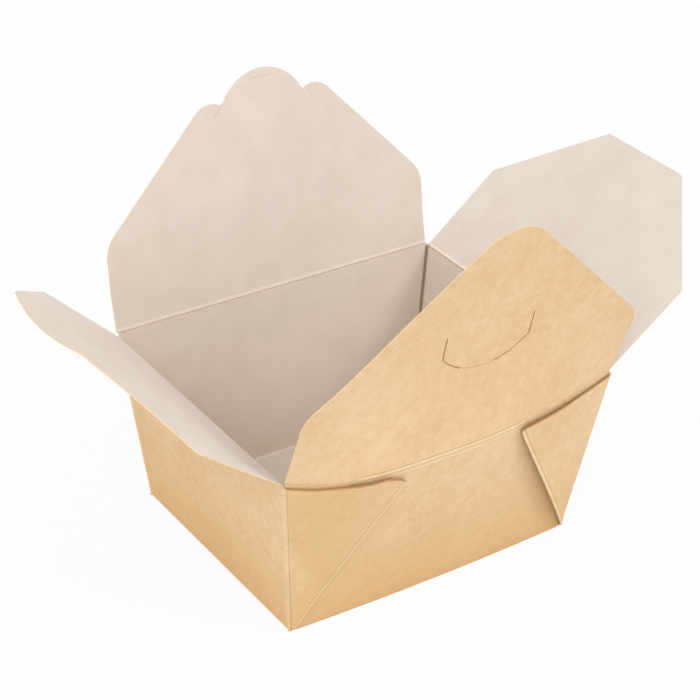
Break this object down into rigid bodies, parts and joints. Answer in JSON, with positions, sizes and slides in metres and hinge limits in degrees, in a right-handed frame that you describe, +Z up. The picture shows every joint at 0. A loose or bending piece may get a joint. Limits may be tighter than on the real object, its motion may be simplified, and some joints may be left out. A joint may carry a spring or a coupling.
{
  "type": "takeaway box",
  "caption": "Folded paperboard takeaway box with flared walls, folded corner webs and lid flaps that close over the top, one with a tongue.",
  "frame": {"origin": "middle of the underside of the base", "axes": "+X along the long sides towards the right end flap, -Y towards the front flap with the slit, +Z up"},
  "size_m": [0.2361, 0.1422, 0.1458],
  "materials": {
    "board": "matt uncoated brown board outside, pale coated face inside"
  },
  "bodies": {
    "box": {"box_body": "board"},
    "front_flap": {"front_flap": "board"},
    "back_flap": {"back_flap": "board"},
    "left_flap": {"left_flap": "board"},
    "right_flap": {"right_flap": "board"}
  },
  "joints": [
    {"name": "front_flap_fold", "type": "hinge", "parent": "box", "child": "front_flap", "pos_m": [0, -0.05167, 0.0648], "axis": [-1, 0, 0], "range_deg": [-94, 106]},
    {"name": "back_flap_fold", "type": "hinge", "parent": "box", "child": "back_flap", "pos_m": [0, 0.05173, 0.0653], "axis": [1, 0, 0], "range_deg": [-98.9, 101.1]},
    {"name": "left_flap_fold", "type": "hinge", "parent": "box", "child": "left_flap", "pos_m": [-0.0648, 0, 0.0638], "axis": [0, 1, 0], "range_deg": [-63, 137]},
    {"name": "right_flap_fold", "type": "hinge", "parent": "box", "child": "right_flap", "pos_m": [0.06486, 0, 0.0643], "axis": [0, -1, 0], "range_deg": [-60, 140]}
  ]
}
